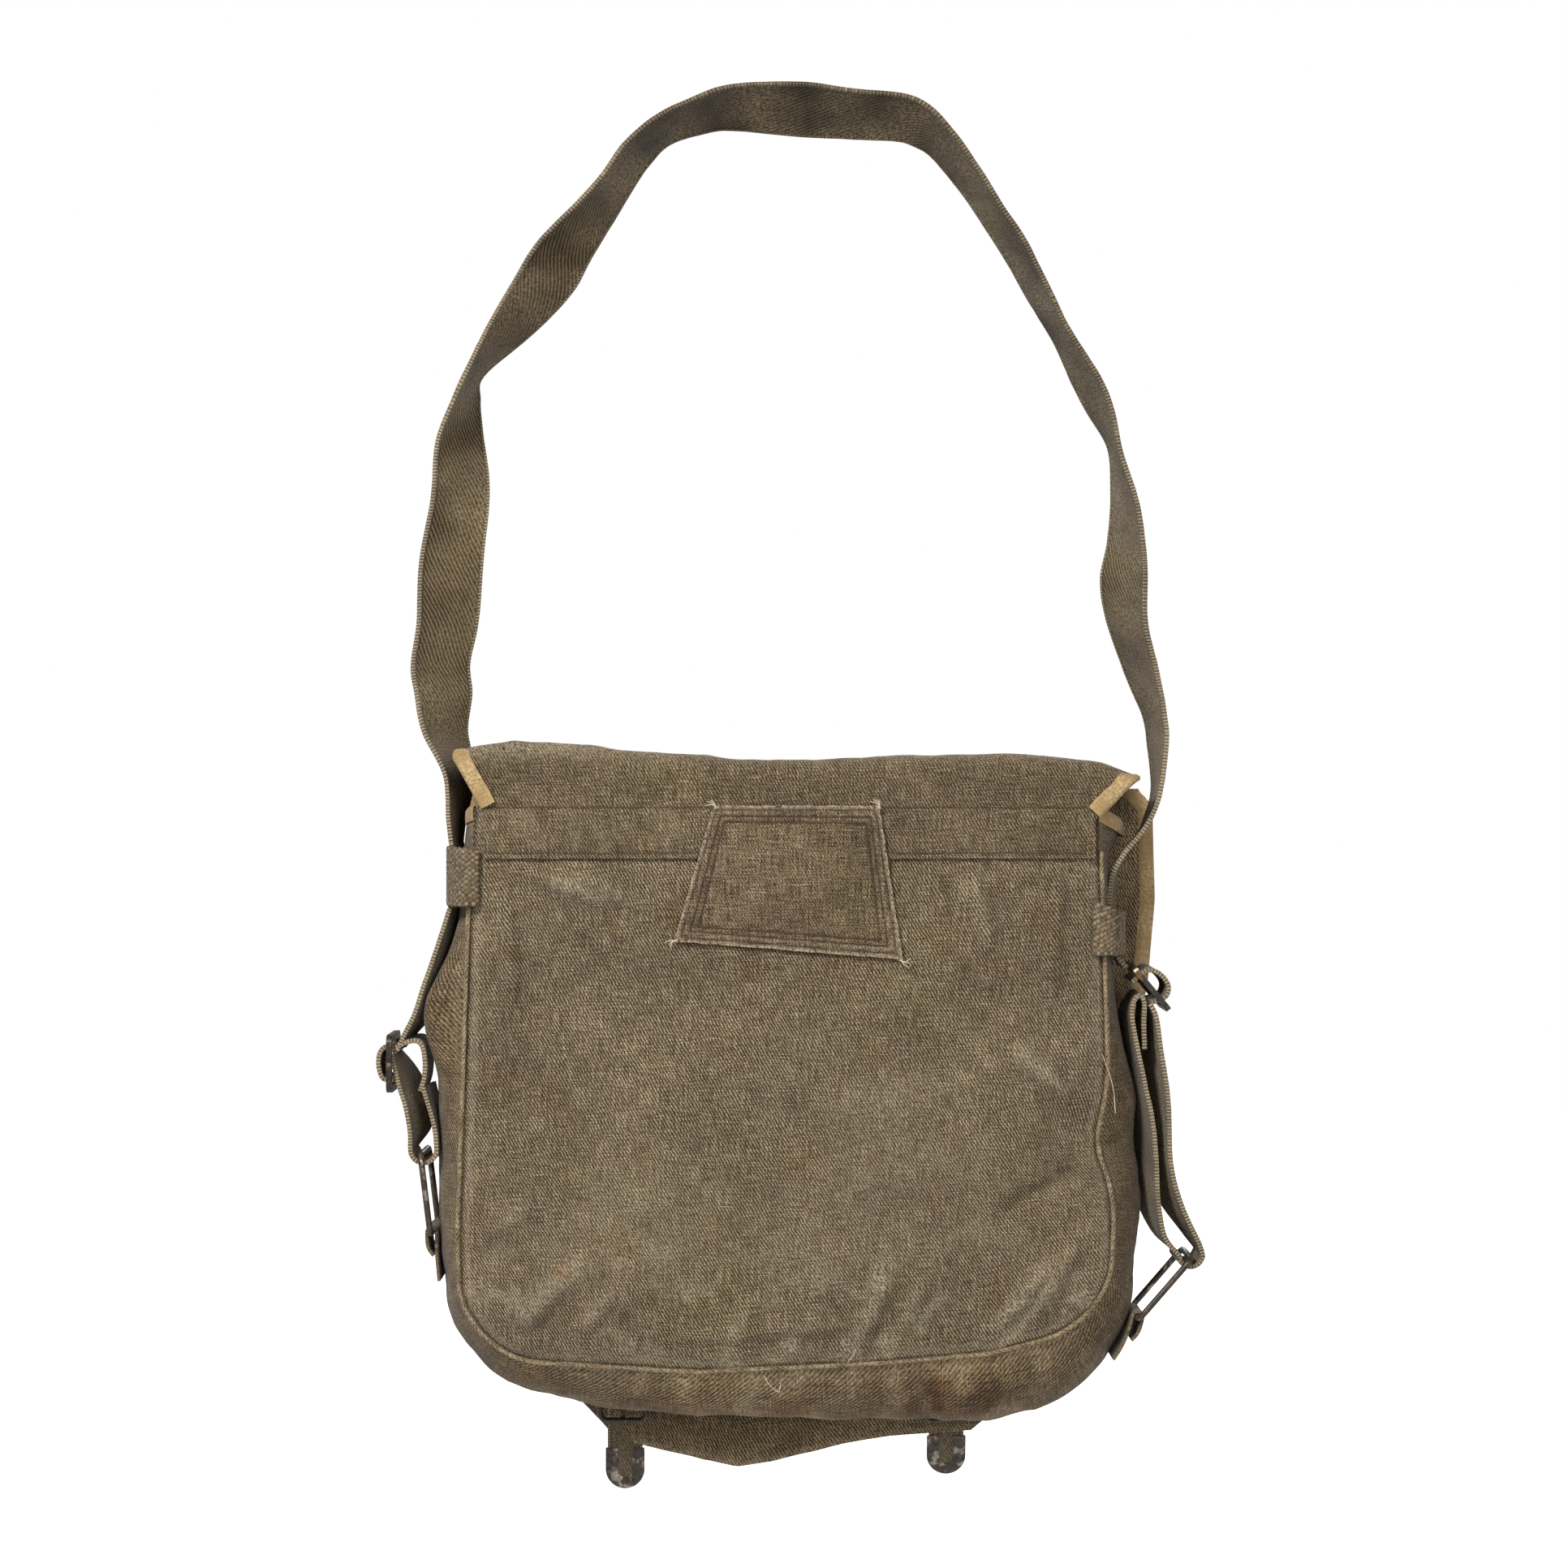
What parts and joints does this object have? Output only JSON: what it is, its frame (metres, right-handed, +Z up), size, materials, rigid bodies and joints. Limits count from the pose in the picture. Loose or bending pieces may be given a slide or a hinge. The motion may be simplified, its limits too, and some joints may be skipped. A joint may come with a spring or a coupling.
{
  "type": "canvas shoulder satchel",
  "caption": "Flat canvas shoulder satchel for mail with a bulging gusset, fold-over flap, closing straps, a wide webbing shoulder strap, sliders, rings and a sewn back patch.",
  "frame": {"origin": "the strap's hang point, in the middle of the underside of the strap's top, where a peg or a shoulder carries it", "axes": "+Z up, +X to the right seen from the bag's back, +Y from the back towards the flap's front"},
  "size_m": [0.4575, 0.1056, 0.798],
  "materials": {
    "canvas": "old olive-brown linen canvas, washed and stained",
    "canvas_inside": "the same canvas, less worn and darker",
    "patch": "canvas offcut with frayed edges",
    "webbing": "twill cotton webbing with a pale selvage",
    "binding_tape": "tan cotton binding tape",
    "enamelled_steel": "dark japanned steel, worn bright on the edges",
    "steel": "dull plated steel wire, tarnished"
  },
  "bodies": {
    "strap": {"shoulder_strap": "webbing"},
    "bag": {"back_panel": "canvas", "front_panel": "canvas_inside", "gusset": "canvas", "back_welt": "canvas", "front_welt": "canvas_inside", "front_hem": "canvas_inside", "gusset_binding_left": "binding_tape", "gusset_binding_right": "binding_tape", "flap_hem": "canvas", "back_patch": "patch", "keeper_left": "webbing", "keeper_right": "webbing", "strap_lead_left": "webbing", "strap_lead_right": "webbing", "strap_tail_left": "webbing", "strap_tail_right": "webbing", "ring_chape_left": "webbing", "ring_chape_right": "webbing", "buckle_chape_left": "webbing", "buckle_chape_right": "webbing"},
    "flap_top": {"flap_top": "canvas", "flap_top_binding": "binding_tape"},
    "flap_front": {"flap_front": "canvas_inside", "flap_front_binding": "binding_tape", "closure_anchor_left": "webbing", "closure_anchor_right": "webbing"},
    "closure_left": {"closure_strap_left": "webbing", "strap_tip_left": "steel"},
    "closure_right": {"closure_strap_right": "webbing", "strap_tip_right": "steel"},
    "buckle_left": {"buckle_left": "steel"},
    "buckle_right": {"buckle_right": "steel"},
    "prong_left": {"prong_left": "steel"},
    "prong_right": {"prong_right": "steel"},
    "ring_left": {"ring_left": "steel"},
    "ring_right": {"ring_right": "steel"},
    "slider_left": {"slider_left": "enamelled_steel", "slider_bar_left": "steel", "strap_bight_left": "webbing"},
    "slider_right": {"slider_right": "enamelled_steel", "slider_bar_right": "steel", "strap_bight_right": "webbing"}
  },
  "joints": [
    {"name": "strap_fold", "type": "hinge", "parent": "strap", "child": "bag", "pos_m": [0, 0.004, -0.396], "axis": [-1, 0, 0], "range_deg": [0, 45]},
    {"name": "flap_lift", "type": "hinge", "parent": "bag", "child": "flap_top", "pos_m": [0, -0.0374, -0.392], "axis": [1, 0, 0], "range_deg": [0, 35]},
    {"name": "flap_open", "type": "hinge", "parent": "flap_top", "child": "flap_front", "pos_m": [0, 0.0461, -0.3643], "axis": [1, 0, 0], "range_deg": [0, 120]},
    {"name": "closure_left_lift", "type": "hinge", "parent": "flap_front", "child": "closure_left", "pos_m": [-0.093, 0.06001, -0.66368], "axis": [1, 0, 0], "range_deg": [0, 80]},
    {"name": "buckle_left_swing", "type": "hinge", "parent": "bag", "child": "buckle_left", "pos_m": [-0.093, 0.0398, -0.72], "axis": [1, 0, 0], "range_deg": [-20, 25]},
    {"name": "prong_left_lift", "type": "hinge", "parent": "buckle_left", "child": "prong_left", "pos_m": [-0.093, 0.0398, -0.72], "axis": [1, 0, 0], "range_deg": [0, 20]},
    {"name": "closure_right_lift", "type": "hinge", "parent": "flap_front", "child": "closure_right", "pos_m": [0.093, 0.06001, -0.66368], "axis": [1, 0, 0], "range_deg": [0, 80]},
    {"name": "buckle_right_swing", "type": "hinge", "parent": "bag", "child": "buckle_right", "pos_m": [0.093, 0.0398, -0.72], "axis": [1, 0, 0], "range_deg": [-20, 25]},
    {"name": "prong_right_lift", "type": "hinge", "parent": "buckle_right", "child": "prong_right", "pos_m": [0.093, 0.0398, -0.72], "axis": [1, 0, 0], "range_deg": [0, 20]},
    {"name": "ring_left_swing", "type": "hinge", "parent": "bag", "child": "ring_left", "pos_m": [-0.1966, -0.004, -0.628], "axis": [0, 1, 0], "range_deg": [0, 5]},
    {"name": "ring_right_swing", "type": "hinge", "parent": "bag", "child": "ring_right", "pos_m": [0.1954, -0.004, -0.675], "axis": [0, -1, 0], "range_deg": [0, 5]},
    {"name": "slider_left_slide", "type": "slide", "parent": "bag", "child": "slider_left", "axis": [0.3, 0, 0.9539], "range_m": [0, 0.035], "deforming": ["strap_lead_left", "strap_tail_left"]},
    {"name": "slider_right_slide", "type": "slide", "parent": "bag", "child": "slider_right", "axis": [0.1, 0, -0.995], "range_m": [0, 0.06], "deforming": ["strap_lead_right", "strap_tail_right"]}
  ]
}
